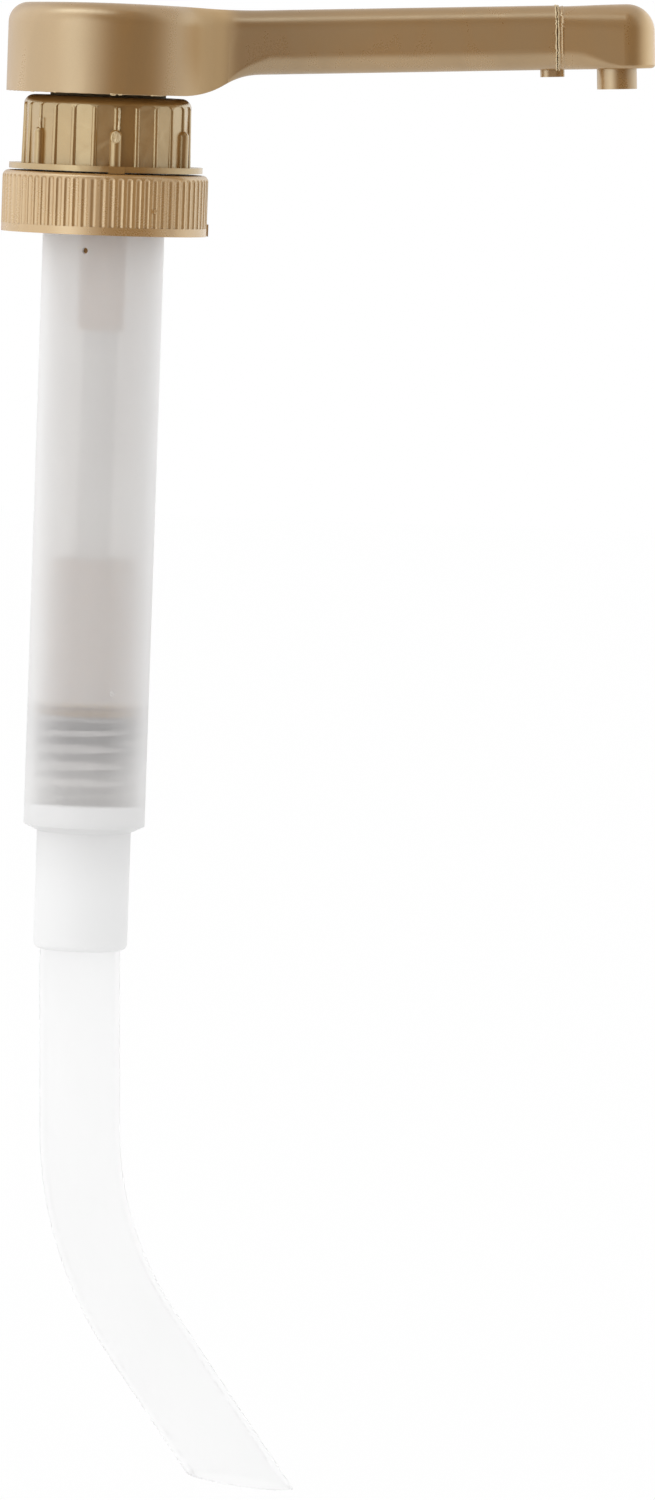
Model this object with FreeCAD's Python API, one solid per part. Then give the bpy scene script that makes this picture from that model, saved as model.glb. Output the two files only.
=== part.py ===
"""Syrup pump for a wide-neck bottle, locked down as it is stored.

Millimetres. The origin is on the pump's axis in the plane of the bottle's rim, where the neck gasket seats.
+Z points up through the head and +X along the delivery arm.
"""
import FreeCAD, Part
import math
import os

V = FreeCAD.Vector

# Clearances
running_gap = 0.05
press_gap = 0.02
seat_gap = 0.1
spin_gap = 0.08
flange_play = 0.25
seam_gap = 0.15
overrun = 5.0

# Pump barrel, a moulded cylinder with a foot that takes the dip tube
bore_d = 21.8
barrel_wall = 1.1
bore_depth = 124.9
floor_t = 1.7
floor_fillet = 0.8
shoulder_drop = 1.3
foot_wall = 1.35
foot_length = 23.4
foot_edge_r = 1.2
valve_well_d = 10.0
valve_well_depth = 2.6
valve_hole_d = 5.2
valve_cone_deg = 39.6
tube_insert = 17.8
vent_hole_d = 1.2
vent_below_rim = 11.5
vent_angle_deg = -106.0

# Barrel flange, snap neck and the gaskets
flange_room = 0.95
flange_t = 1.3
gasket_t = 1.0
neck_wall = 1.3
neck_h = 13.63
bead_h = 0.5
bead_below_top = 3.9
bead_w = 1.4
collar_seal_t = 1.3

# Screw closure for a 38 mm neck
neck_finish_d = 37.6
thread_room = 0.15
closure_wall = 1.35
closure_h = 12.0
closure_panel_t = 1.4
closure_edge_r = 1.2
closure_rim_h = 1.6
closure_top_band = 0.45
closure_lead_in = 0.4
bead_room = 0.2
knurl_count = 72
knurl_depth = 0.3
knurl_flute_w = 1.3

# Lock collar
collar_gap = 0.35
collar_wall = 1.45
snap_to_skirt = 1.35
collar_draft = 0.25
collar_shoulder_r = 2.0
collar_plate_t = 1.5
collar_flange_d = 38.2
collar_flange_t = 1.15
grip_count = 24
grip_first_deg = -82.4
grip_depth = 0.45
grip_rib_w = 1.15
grip_web_w = 0.5
grip_proud = 0.06
grip_corner_r = 1.1
grip_below_top = 1.5
lug_count = 6
lug_w = 2.4
lug_h = 7.2
lug_out = 0.75
gate_w = 3.2
gate_out = 0.3
gate_in = 1.0
boss_h = 4.5
boss_wall = 1.7
well_depth = 6.2
snap_wall = 1.15
snap_room = 0.1
snap_grip = 0.45
snap_rim_h = 1.2
plug_depth = 13.9
plug_wall = 1.15
guide_wall = 1.1
sleeve_flange_t = 0.7
wiper_w = 2.05
wiper_t = 1.4

# Stem, piston and valves
stem_d = 7.0
stem_wall = 1.2
stem_slot_w = 1.3
stem_slot_h = 1.6
stem_slots = 4
head_socket_depth = 7.7
head_socket_wall = 1.7
socket_above_well = 0.6
core_length = 30.9
cup_room = 2.3
core_wall = 1.4
core_plate_t = 1.6
core_socket_depth = 8.0
core_flange_t = 1.4
core_bead_h = 0.35
core_edge = 0.8
chamber_d = 8.4
chamber_h = 5.6
discharge_hole_d = 4.0
discharge_cone_deg = 45.0
discharge_land = 1.8
discharge_ball_d = 6.35
cup_h = 4.2
cup_body_w = 0.7
cup_lip_h = 1.3
suction_ball_d = 7.94
cage_ring_t = 2.9
cage_wall = 1.3
cage_bore_d = 11.0
cage_crown_h = 2.8
cage_crown_t = 1.5
cage_window_w = 4.2
cage_flow_hole_d = 3.0

# Return spring
wire_d = 1.5
spring_room = 0.35
spring_locked_h = 18.7
spring_turns = 6.0
closed_turns = 1.125
closed_gap = 0.46
easing_turns = 0.5
spring_start_deg = 126.0

# Travel of the piston from locked down to its upper stop
travel = 45.0
stop_gap = 0.1

# Head and delivery arm
head_gap = 0.7
head_d = 40.2
head_h = 17.7
head_wall = 1.6
roof_t = 1.9
roof_fillet = 2.4
crown_rise = 0.5
top_edge_r = 4.0
saddle_r = 120.0
arm_below_top = 8.28
arm_rise_deg = 2.95
arm_h = 12.65
arm_w = 12.6
arm_reach = 88.0
arm_corner_r = 4.2
root_plan_r = 8.0
root_out_r = 15.0
root_in_r = 13.0
root_run = 9.4
root_soft_from = 3.5
root_soft_to = 11.4
duct_start_d = 6.2
duct_end_d = 9.4
duct_wall = 1.5
duct_web_w = 5.0
skirt_room = 0.9
skirt_wall = 1.4
skirt_lift = 0.5
head_rib_count = 6
head_rib_t = 1.2
head_rib_lift = 5.0

# Spout elbow
elbow_length = 19.4
elbow_step = 0.2
elbow_hump = 0.22
elbow_nose_r = 5.5
elbow_soft_start = 2.0
elbow_stations = 7
crisp_r = 0.8
spout_past_seam = 11.8
spout_d = 7.9
spout_bore_d = 6.0
spout_length = 4.0
plug_length = 7.5
plug_bore_d = 6.4
latch_length = 4.8
latch_past_seam = 1.5
latch_w = 3.4
latch_t = 1.4

# Dip tube, an extruded tube with a set bend
tube_d = 15.9
tube_wall = 1.2
tube_lean_r = 150.0
tube_lean_deg = 1.95
tube_straight = 31.0
tube_bend_r = 73.7
tube_bend_deg = 35.4
tube_tail = 35.5
tube_cut_deg = 6.5

# Radii that follow from the sizes above
bore_r = bore_d / 2
barrel_r = bore_r + barrel_wall
neck_r = bore_r + neck_wall
bead_r = neck_r + bead_h
tube_r = tube_d / 2
socket_r = tube_r + press_gap
foot_r = socket_r + foot_wall
stem_r = stem_d / 2
guide_r = stem_r + running_gap
guide_out_r = guide_r + guide_wall
sleeve_hole_r = guide_out_r + press_gap
wiper_r = guide_r + wiper_w
plug_out_r = bore_r - running_gap
boss_in_r = plug_out_r - plug_wall
boss_r = boss_in_r + boss_wall
snap_in_r = bead_r + snap_room
snap_out_r = snap_in_r + snap_wall
collar_skirt_in_r = snap_out_r + snap_to_skirt
collar_r = collar_skirt_in_r + collar_wall
closure_bore_r = neck_finish_d / 2 + thread_room
closure_r = closure_bore_r + closure_wall
flange_r = closure_bore_r - flange_room
closure_hole_r = bead_r + bead_room
head_r = head_d / 2
skirt_in_r = boss_r + skirt_room
core_r = bore_r - cup_room
core_flange_r = bore_r - flange_play
spring_mean_r = bore_r - spring_room - wire_d / 2

# Heights, from the rim plane upwards
z_flange_top = gasket_t + flange_t
z_neck_top = z_flange_top + neck_h
z_closure_top = z_flange_top + spin_gap + closure_panel_t
z_closure_bottom = z_closure_top - closure_h
z_collar_bottom = z_closure_top + collar_gap
z_plate_under = z_neck_top + collar_seal_t
z_collar_top = z_plate_under + collar_plate_t
z_boss_top = z_collar_top + boss_h
z_well = z_boss_top - well_depth
z_wiper_seat = z_well - wiper_t
z_sleeve_seat = z_wiper_seat - sleeve_flange_t
z_well_under = z_wiper_seat - collar_plate_t
z_plug_bottom = z_plate_under - plug_depth
z_head_bottom = z_collar_top + head_gap
z_head_top = z_head_bottom + head_h
z_arm = z_head_top - arm_below_top
z_head_socket = z_well + socket_above_well
z_stem_top = z_head_socket + head_socket_depth

# Heights, from the rim plane downwards
z_floor = -bore_depth
z_shoulder = z_floor - floor_t
z_foot_bottom = z_shoulder - foot_length
z_socket_top = z_foot_bottom + tube_insert
z_spring_bottom = z_floor + cage_ring_t
z_core_bottom = z_spring_bottom + spring_locked_h
z_core_top = z_core_bottom + core_length
z_core_flange_top = z_core_bottom + core_flange_t
z_stem_bottom = z_core_top - core_socket_depth
z_chamber_bottom = z_stem_bottom - chamber_h
z_guide_bottom = z_core_top + travel + stop_gap

# Reaches along the arm
root_soft_start = head_r + root_soft_from
root_end = head_r + root_run
root_soft_end = head_r + root_soft_to
elbow_reach = arm_reach + elbow_length
spout_reach = arm_reach + spout_past_seam

rise = math.radians(arm_rise_deg)
TOP = V(0, 0, 1)
AXIS = V(0, 0, 0)


def arc_edge(start, middle, end):
    return Part.Arc(start, middle, end).toShape()


def line_edge(start, end):
    return Part.LineSegment(start, end).toShape()


def revolved(points):
    """A solid of revolution from (radius, height) points; a third value rounds that corner."""
    edges = []
    count = len(points)
    starts = []
    ends = []
    middles = []
    for i, point in enumerate(points):
        here = V(point[0], 0, point[1])
        if len(point) < 3:
            starts.append(here)
            ends.append(here)
            middles.append(None)
            continue
        before = V(points[i - 1][0], 0, points[i - 1][1])
        after = V(points[(i + 1) % count][0], 0, points[(i + 1) % count][1])
        to_before = (before - here).normalize()
        to_after = (after - here).normalize()
        half = to_before.getAngle(to_after) / 2
        back = point[2] / math.tan(half)
        centre = here + (to_before + to_after).normalize() * (point[2] / math.sin(half))
        starts.append(here + to_before * back)
        ends.append(here + to_after * back)
        middles.append(centre + (here - centre).normalize() * point[2])
    for i in range(count):
        if middles[i] is not None:
            edges.append(arc_edge(starts[i], middles[i], ends[i]))
        following = starts[(i + 1) % count]
        if ends[i].distanceToPoint(following) > 1e-6:
            edges.append(line_edge(ends[i], following))
    face = Part.Face(Part.Wire(edges))
    return face.revolve(AXIS, TOP, 360)


def cylinder(radius, low, high):
    return Part.makeCylinder(radius, high - low, V(0, 0, low), TOP)


def ring(inner, outer, low, high):
    return cylinder(outer, low, high).cut(cylinder(inner, low - overrun, high + overrun))


def turned(shape, degrees):
    copy = shape.copy()
    copy.rotate(AXIS, TOP, degrees)
    return copy


def box(x_low, x_high, y_low, y_high, z_low, z_high):
    return Part.makeBox(x_high - x_low, y_high - y_low, z_high - z_low, V(x_low, y_low, z_low))


def raised(shape):
    """Moves a shape from the arm's own level frame to the rising arm."""
    copy = shape.copy()
    copy.rotate(AXIS, V(0, -1, 0), arm_rise_deg)
    copy.translate(V(0, 0, z_arm))
    return copy


def seat_height(ball_r, hole_r, hole_z, cone_deg):
    """Height of a ball's centre on a conical seat whose narrow end is at hole_z."""
    half = math.radians(cone_deg)
    return hole_z - hole_r / math.tan(half) + ball_r / math.sin(half)


def cone_height(wide_r, narrow_r, cone_deg):
    return (wide_r - narrow_r) / math.tan(math.radians(cone_deg))


# Barrel group
def make_barrel():
    well_r = valve_well_d / 2
    hole_r = valve_hole_d / 2
    z_cone_top = z_floor - valve_well_depth
    z_cone_bottom = z_cone_top - cone_height(well_r, hole_r, valve_cone_deg)
    z_bead = z_neck_top - bead_below_top
    body = revolved([
        (socket_r, z_foot_bottom),
        (foot_r, z_foot_bottom, foot_edge_r),
        (foot_r, z_shoulder),
        (barrel_r, z_shoulder + shoulder_drop),
        (barrel_r, gasket_t),
        (flange_r, gasket_t),
        (flange_r, z_flange_top),
        (neck_r, z_flange_top),
        (neck_r, z_bead - bead_w / 2),
        (bead_r, z_bead - bead_w / 2 + bead_h),
        (neck_r, z_bead + bead_w),
        (neck_r, z_neck_top),
        (bore_r, z_neck_top),
        (bore_r, z_floor, floor_fillet),
        (well_r, z_floor),
        (well_r, z_cone_top),
        (hole_r, z_cone_bottom),
        (hole_r, z_socket_top),
        (socket_r, z_socket_top),
    ])
    vent = Part.makeCylinder(vent_hole_d / 2, bore_r + overrun, V(bore_r / 2, 0, -vent_below_rim), V(1, 0, 0))
    return body.cut(turned(vent, vent_angle_deg))


def make_neck_gasket():
    return ring(barrel_r + seat_gap, flange_r, 0, gasket_t)


def make_collar_seal():
    return ring(bore_r + press_gap, neck_r, z_neck_top, z_plate_under)


def make_ball_cage():
    ring_r = bore_r - seat_gap
    bore = cage_bore_d / 2
    crown_r = bore + cage_wall
    z_crown = z_spring_bottom + cage_crown_h
    edge_room = floor_fillet
    cage = revolved([
        (bore, z_floor),
        (ring_r - edge_room, z_floor),
        (ring_r, z_floor + edge_room),
        (ring_r, z_spring_bottom),
        (crown_r, z_spring_bottom),
        (crown_r, z_crown, cage_wall),
        (cage_flow_hole_d / 2, z_crown),
        (cage_flow_hole_d / 2, z_crown - cage_crown_t),
        (bore, z_crown - cage_crown_t),
    ])
    half = cage_window_w / 2
    reach = crown_r + overrun
    for angle in (0, 90):
        window = box(-reach, reach, -half, half, z_spring_bottom, z_crown - cage_crown_t)
        cage = cage.cut(turned(window, angle))
    return cage


def make_suction_ball():
    ball_r = suction_ball_d / 2
    hole_r = valve_hole_d / 2
    z_cone_bottom = z_floor - valve_well_depth - cone_height(valve_well_d / 2, hole_r, valve_cone_deg)
    centre = seat_height(ball_r, hole_r, z_cone_bottom, valve_cone_deg)
    return Part.makeSphere(ball_r - seat_gap, V(0, 0, centre))


def heading(degrees):
    """Direction of the dip tube where it has turned by this angle from straight down."""
    return V(math.sin(math.radians(degrees)), 0, -math.cos(math.radians(degrees)))


def tube_arc(start, radius, from_deg, to_deg):
    """An arc of the dip tube's axis toward +X, and the point where it ends."""
    across = V(math.cos(math.radians(from_deg)), 0, math.sin(math.radians(from_deg)))
    centre = start + across * radius
    points = []
    for degrees in ((from_deg + to_deg) / 2, to_deg):
        angle = math.radians(degrees)
        points.append(centre - V(math.cos(angle), 0, math.sin(angle)) * radius)
    return arc_edge(start, points[0], points[1]), points[1]


def make_dip_tube():
    """An extruded tube that leans a little below its socket and then turns aside to the bottle's edge."""
    top = V(0, 0, z_socket_top - seat_gap)
    mouth = V(0, 0, z_foot_bottom)
    lean, lean_end = tube_arc(mouth, tube_lean_r, 0, tube_lean_deg)
    bend_start = lean_end + heading(tube_lean_deg) * tube_straight
    bend, bend_end = tube_arc(bend_start, tube_bend_r, tube_lean_deg, tube_bend_deg)
    tip = bend_end + heading(tube_bend_deg) * tube_tail
    beyond = tip + heading(tube_bend_deg) * tube_d
    runs = [line_edge(top, mouth), lean, line_edge(lean_end, bend_start), bend, line_edge(bend_end, beyond)]
    path = Part.Wire(runs)
    shells = []
    for radius in (tube_r, tube_r - tube_wall):
        circle = Part.Wire([Part.Circle(top, TOP, radius).toShape()])
        shells.append(path.makePipeShell([circle], True, False))
    tube = shells[0].cut(shells[1])
    waste = box(-tube_d * 2, tube_d * 2, -tube_d, tube_d, -tube_d * 3, 0)
    waste.rotate(AXIS, V(0, 1, 0), tube_cut_deg)
    waste.translate(tip)
    print("dip tube arcs", tube_lean_r, tube_bend_r, "tip", tip)
    return tube.cut(waste)


# Closure
def make_closure():
    body = revolved([
        (closure_bore_r + closure_lead_in, z_closure_bottom),
        (closure_r, z_closure_bottom),
        (closure_r, z_closure_top, closure_edge_r),
        (closure_hole_r, z_closure_top),
        (closure_hole_r, z_closure_top - closure_panel_t),
        (closure_bore_r, z_closure_top - closure_panel_t),
        (closure_bore_r, z_closure_bottom + closure_lead_in),
    ])
    cutter_r = (knurl_flute_w ** 2 / 4 + knurl_depth ** 2) / (2 * knurl_depth)
    centre_r = closure_r - knurl_depth + cutter_r
    low = z_closure_bottom + closure_rim_h
    high = z_closure_top - closure_top_band - cutter_r
    flute = Part.makeCylinder(cutter_r, high - low, V(centre_r, 0, low), TOP)
    flute = flute.fuse(Part.makeSphere(cutter_r, V(centre_r, 0, high)))
    flutes = [turned(flute, 360 / knurl_count * i) for i in range(knurl_count)]
    return body.cut(flutes)


# Lock collar
def grip_panel():
    """One recessed panel between the webs of two ribs, square at the flange and round-cornered at the top."""
    pitch = 2 * math.pi * collar_r / grip_count
    half = (pitch - grip_web_w) / 2
    low = z_collar_bottom + collar_flange_t
    high = z_collar_top - grip_below_top
    near = (collar_r - grip_depth) * math.cos(math.pi / grip_count)
    corner = min(grip_corner_r, half)
    slant = corner * (1 - math.sqrt(0.5))
    edges = [
        line_edge(V(near, -half, low), V(near, half, low)),
        line_edge(V(near, half, low), V(near, half, high - corner)),
        arc_edge(V(near, half, high - corner), V(near, half - slant, high - slant), V(near, half - corner, high)),
        line_edge(V(near, half - corner, high), V(near, corner - half, high)),
        arc_edge(V(near, corner - half, high), V(near, slant - half, high - slant), V(near, -half, high - corner)),
        line_edge(V(near, -half, high - corner), V(near, -half, low)),
    ]
    return Part.Face(Part.Wire(edges)).extrude(V(collar_r, 0, 0))


def grip_rib():
    """A half-round rib over the web between two panels, with a bullet top that runs into the shoulder."""
    radius = grip_rib_w / 2
    low = z_collar_bottom + collar_flange_t / 2
    high = z_collar_top - grip_below_top - radius
    side = z_collar_top - z_collar_bottom - collar_flange_t
    lean = collar_draft * (high - low) / side
    foot = V(collar_r + grip_proud - radius, 0, low)
    nose = foot + V(-lean, 0, high - low)
    return Part.makeCylinder(radius, (nose - foot).Length, foot, nose - foot).fuse(Part.makeSphere(radius, nose))


def grip_lug():
    """A bullet-topped lug that stands over a rib on the lower half of the collar."""
    half = lug_w / 2
    low = z_collar_bottom + collar_flange_t / 2
    high = z_collar_bottom + collar_flange_t + lug_h
    inside = collar_r - collar_wall / 2
    out = collar_r + lug_out
    lug = box(inside, out - half, -half, half, low, high - half)
    nose = Part.makeCylinder(half, high - half - low, V(out - half, 0, low), TOP)
    cap = Part.makeSphere(half, V(out - half, 0, high - half))
    bridge = Part.makeCylinder(half, out - half - inside, V(inside, 0, high - half), V(1, 0, 0))
    return lug.fuse([nose, cap, bridge])


def make_lock_collar():
    z_snap = z_neck_top - bead_below_top - bead_w
    body = revolved([
        (collar_flange_d / 2, z_collar_bottom),
        (collar_flange_d / 2, z_collar_bottom + collar_flange_t),
        (collar_r, z_collar_bottom + collar_flange_t),
        (collar_r - collar_draft, z_collar_top, collar_shoulder_r),
        (boss_r, z_collar_top),
        (boss_r, z_boss_top),
        (boss_in_r, z_boss_top),
        (boss_in_r, z_well),
        (wiper_r, z_well),
        (wiper_r, z_sleeve_seat),
        (sleeve_hole_r, z_sleeve_seat),
        (sleeve_hole_r, z_well_under),
        (boss_in_r, z_well_under),
        (boss_in_r, z_plug_bottom),
        (plug_out_r, z_plug_bottom),
        (plug_out_r, z_plate_under),
        (snap_in_r, z_plate_under),
        (snap_in_r, z_snap),
        (snap_in_r - snap_grip, z_snap - snap_grip),
        (snap_in_r - snap_grip, z_snap - snap_rim_h),
        (snap_out_r, z_snap - snap_rim_h),
        (snap_out_r, z_plate_under),
        (collar_skirt_in_r, z_plate_under),
        (collar_skirt_in_r, z_collar_bottom),
    ])
    step = 360 / grip_count
    panel = grip_panel()
    body = body.cut([turned(panel, grip_first_deg + step * (i + 0.5)) for i in range(grip_count)])
    rib = grip_rib()
    body = body.fuse([turned(rib, grip_first_deg + step * i) for i in range(grip_count)])
    lug = grip_lug()
    body = body.fuse([turned(lug, grip_first_deg + 360 / lug_count * i) for i in range(lug_count)])
    edge = collar_flange_d / 2
    z_gate = z_closure_top + seat_gap
    z_flange_top = z_collar_bottom + collar_flange_t
    gate = box(edge - gate_in, edge + gate_out, -gate_w / 2, gate_w / 2, z_gate, z_flange_top)
    return body.fuse(turned(gate, grip_first_deg)).removeSplitter()


def make_guide_sleeve():
    """The tube pressed into the collar's well, which guides the stem and stops the plunger at the top."""
    return revolved([
        (guide_r, z_guide_bottom),
        (guide_out_r, z_guide_bottom),
        (guide_out_r, z_sleeve_seat),
        (wiper_r - press_gap, z_sleeve_seat),
        (wiper_r - press_gap, z_wiper_seat),
        (guide_r, z_wiper_seat),
    ])


def make_stem_wiper():
    return ring(guide_r, wiper_r - press_gap, z_wiper_seat, z_well)


# Plunger group
def make_stem():
    stem = ring(stem_r - stem_wall, stem_r, z_stem_bottom, z_stem_top)
    for i in range(stem_slots // 2):
        slot = box(-stem_r, stem_r, -stem_slot_w / 2, stem_slot_w / 2, z_stem_bottom, z_stem_bottom + stem_slot_h)
        stem = stem.cut(turned(slot, 360 / stem_slots * i))
    return stem


def make_piston_core():
    chamber_r = chamber_d / 2
    hole_r = discharge_hole_d / 2
    z_cone_bottom = z_chamber_bottom - cone_height(chamber_r, hole_r, discharge_cone_deg)
    z_tube_end = z_cone_bottom - discharge_land
    z_cup_top = z_core_flange_top + cup_h
    shell_in = core_r - core_wall
    tube_out = chamber_r + core_wall
    return revolved([
        (stem_r + press_gap, z_core_top),
        (core_r - core_edge, z_core_top),
        (core_r, z_core_top - core_edge),
        (core_r, z_cup_top + 3 * core_bead_h),
        (core_r + core_bead_h, z_cup_top + seat_gap + core_bead_h),
        (core_r + core_bead_h, z_cup_top + seat_gap),
        (core_r, z_cup_top + seat_gap),
        (core_r, z_core_flange_top),
        (core_flange_r, z_core_flange_top),
        (core_flange_r, z_core_bottom),
        (shell_in, z_core_bottom),
        (shell_in, z_core_top - core_plate_t),
        (tube_out, z_core_top - core_plate_t),
        (tube_out, z_tube_end),
        (hole_r, z_tube_end),
        (hole_r, z_cone_bottom),
        (chamber_r, z_chamber_bottom),
        (chamber_r, z_stem_bottom),
        (stem_r + press_gap, z_stem_bottom),
    ])


def make_discharge_ball():
    ball_r = discharge_ball_d / 2
    hole_r = discharge_hole_d / 2
    z_cone_bottom = z_chamber_bottom - cone_height(chamber_d / 2, hole_r, discharge_cone_deg)
    centre = seat_height(ball_r, hole_r, z_cone_bottom, discharge_cone_deg)
    return Part.makeSphere(ball_r - seat_gap, V(0, 0, centre))


def make_piston_cup():
    """A cup seal whose lip flares down to the bore, above the flange of the core."""
    inside = core_r + press_gap
    body_r = inside + cup_body_w
    lip_r = bore_r - running_gap
    low = z_core_flange_top + running_gap
    top = z_core_flange_top + cup_h
    z_web = low + cup_lip_h + (lip_r - body_r)
    return revolved([
        (inside, low),
        (lip_r - cup_body_w, low),
        (lip_r, low + cup_body_w / 2),
        (lip_r, low + cup_lip_h),
        (body_r, z_web),
        (body_r, top),
        (inside, top),
    ])


# Return spring
def wire_rise():
    """Height between the ends of the wire's centre line, with a little play at each end."""
    return spring_locked_h - wire_d - 2 * seat_gap


def spring_slope(turn):
    """Rise of the wire per turn, close at both ends and even between them."""
    height = wire_rise()
    closed_pitch = wire_d + closed_gap
    open_turns = spring_turns - 2 * closed_turns - easing_turns
    open_pitch = (height - (2 * closed_turns + easing_turns) * closed_pitch) / open_turns
    from_end = min(turn, spring_turns - turn) - closed_turns
    share = min(max(from_end / easing_turns, 0.0), 1.0)
    share = share * share * (3 - 2 * share)
    return closed_pitch + (open_pitch - closed_pitch) * share


def spring_points(per_turn):
    """Points and tangents along the wire's centre line, per_turn to a turn."""
    fine = 40
    total = int(round(spring_turns * per_turn))
    heights = [0.0]
    for i in range(total):
        gain = 0.0
        for j in range(fine):
            gain += spring_slope((i + (j + 0.5) / fine) / per_turn) / (per_turn * fine)
        heights.append(heights[-1] + gain)
    scale = wire_rise() / heights[-1]
    start = z_spring_bottom + seat_gap + wire_d / 2
    result = []
    for i, height in enumerate(heights):
        angle = math.radians(spring_start_deg) + 2 * math.pi * i / per_turn
        slope = spring_slope(i / per_turn) * scale / (2 * math.pi)
        place = V(spring_mean_r * math.cos(angle), spring_mean_r * math.sin(angle), start + height * scale)
        tangent = V(-spring_mean_r * math.sin(angle), spring_mean_r * math.cos(angle), slope)
        result.append((place, tangent.normalize()))
    return result


def arc_from_tangent(start, tangent, end):
    """The arc that leaves start along tangent and reaches end."""
    chord = end - start
    angle = tangent.getAngle(chord)
    across = (tangent - chord * (tangent.dot(chord) / chord.dot(chord))).normalize()
    middle = start + chord * 0.5 + across * (chord.Length / 2 * math.tan(angle / 2))
    return arc_edge(start, middle, end)


def biarc(start, start_tangent, end, end_tangent):
    """Two tangent arcs from one point and direction to another."""
    chord = end - start
    both = start_tangent + end_tangent
    a = both.dot(both) - 4
    b = chord.dot(both)
    c = chord.dot(chord)
    reach = (b - math.sqrt(b * b - a * c)) / a
    first = start + start_tangent * reach
    second = end - end_tangent * reach
    join = (first + second) * 0.5
    join_tangent = (second - first).normalize()
    return [arc_from_tangent(start, start_tangent, join), arc_from_tangent(join, join_tangent, end)]


def make_return_spring():
    places = spring_points(4)
    edges = []
    for here, following in zip(places[:-1], places[1:]):
        edges.extend(biarc(here[0], here[1], following[0], following[1]))
    path = Part.Wire(edges)
    circle = Part.Wire([Part.Circle(places[0][0], places[0][1], wire_d / 2).toShape()])
    print("spring least gap to itself", round(least_gap(), 3))
    return path.makePipeShell([circle], True, False)


def least_gap():
    per_turn = 36
    places = [place for place, tangent in spring_points(per_turn)]
    least = 1e9
    for i, here in enumerate(places):
        for there in places[i + per_turn // 2:]:
            least = min(least, here.distanceToPoint(there))
    return least - wire_d


# Head and arm
def arm_top_z(x):
    return z_arm + x * math.tan(rise) + arm_h / 2 / math.cos(rise)


def arm_bottom_z(x):
    return z_arm + x * math.tan(rise) - arm_h / 2 / math.cos(rise)


def root_plan():
    """Centre of the plan fillet between cup and arm."""
    y = arm_w / 2 + root_plan_r
    return V(math.sqrt((head_r + root_plan_r) ** 2 - y * y), y, 0)


def head_plan_solid():
    centre = root_plan()
    on_cup = centre * (head_r / (head_r + root_plan_r))
    on_arm = V(centre.x, arm_w / 2, 0)
    diagonal = ((on_cup - centre) + (on_arm - centre)).normalize() * root_plan_r
    end = arm_reach + 2 * overrun

    def low(point):
        return V(point.x, -point.y, point.z)

    middle = centre + diagonal
    edges = [
        arc_edge(on_cup, V(-head_r, 0, 0), low(on_cup)),
        arc_edge(low(on_cup), low(middle), low(on_arm)),
        line_edge(low(on_arm), V(end, -arm_w / 2, 0)),
        line_edge(V(end, -arm_w / 2, 0), V(end, arm_w / 2, 0)),
        line_edge(V(end, arm_w / 2, 0), on_arm),
        arc_edge(on_arm, middle, on_cup),
    ]
    face = Part.Face(Part.Wire(edges))
    face.translate(V(0, 0, z_head_bottom - overrun))
    return face.extrude(V(0, 0, head_h * 2 + overrun))


def root_arcs():
    """Centres of the two arcs under the arm's root, the outer one first."""
    foot = V(root_end, 0, arm_bottom_z(root_end))
    inner = foot + V(math.sin(rise), 0, -math.cos(rise)) * root_in_r
    z = z_head_bottom + root_out_r
    across = math.sqrt((root_out_r + root_in_r) ** 2 - (z - inner.z) ** 2)
    return V(inner.x - across, 0, z), inner


def root_bottom_z(x):
    """Height of the underside between the cup's rim and the straight arm."""
    outer, inner = root_arcs()
    join = outer + (inner - outer) * (root_out_r / (root_out_r + root_in_r))
    if x <= join.x:
        return outer.z - math.sqrt(root_out_r ** 2 - (x - outer.x) ** 2)
    if x <= root_end:
        return inner.z + math.sqrt(root_in_r ** 2 - (x - inner.x) ** 2)
    return arm_bottom_z(x)


def on_circle(centre, radius, start, end):
    """Middle point of the short arc from start to end."""
    return centre + ((start - centre) + (end - centre)).normalize() * radius


def head_side_solid():
    outer, inner = root_arcs()
    join = outer + (inner - outer) * (root_out_r / (root_out_r + root_in_r))
    tangent_low = V(outer.x, 0, z_head_bottom)
    tangent_arm = V(root_end, 0, arm_bottom_z(root_end))
    crown_r = head_r ** 2 / (2 * crown_rise)
    crown = V(0, 0, z_head_top - crown_r)
    along = V(math.cos(rise), 0, math.sin(rise))
    normal = V(-math.sin(rise), 0, math.cos(rise))
    base = V(0, 0, arm_top_z(0)) + normal * saddle_r
    toward = base - crown
    b = toward.dot(along)
    t = -b + math.sqrt(b * b - toward.dot(toward) + (crown_r + saddle_r) ** 2)
    saddle = base + along * t
    on_crown = crown + (saddle - crown).normalize() * crown_r
    on_line = saddle - normal * saddle_r
    left = -head_r - overrun
    far = arm_reach + 3 * overrun
    z_left = crown.z + math.sqrt(crown_r ** 2 - left ** 2)
    start = V(left, 0, z_head_bottom)
    end_low = V(far, 0, arm_bottom_z(far))
    end_high = V(far, 0, arm_top_z(far))
    top_left = V(left, 0, z_left)
    edges = [
        line_edge(start, tangent_low),
        arc_edge(tangent_low, on_circle(outer, root_out_r, tangent_low, join), join),
        arc_edge(join, on_circle(inner, root_in_r, join, tangent_arm), tangent_arm),
        line_edge(tangent_arm, end_low),
        line_edge(end_low, end_high),
        line_edge(end_high, on_line),
        arc_edge(on_line, on_circle(saddle, saddle_r, on_line, on_crown), on_crown),
        arc_edge(on_crown, on_circle(crown, crown_r, on_crown, top_left), top_left),
        line_edge(top_left, start),
    ]
    face = Part.Face(Part.Wire(edges))
    face.translate(V(0, left, 0))
    return face.extrude(V(0, -2 * left, 0))


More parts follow.
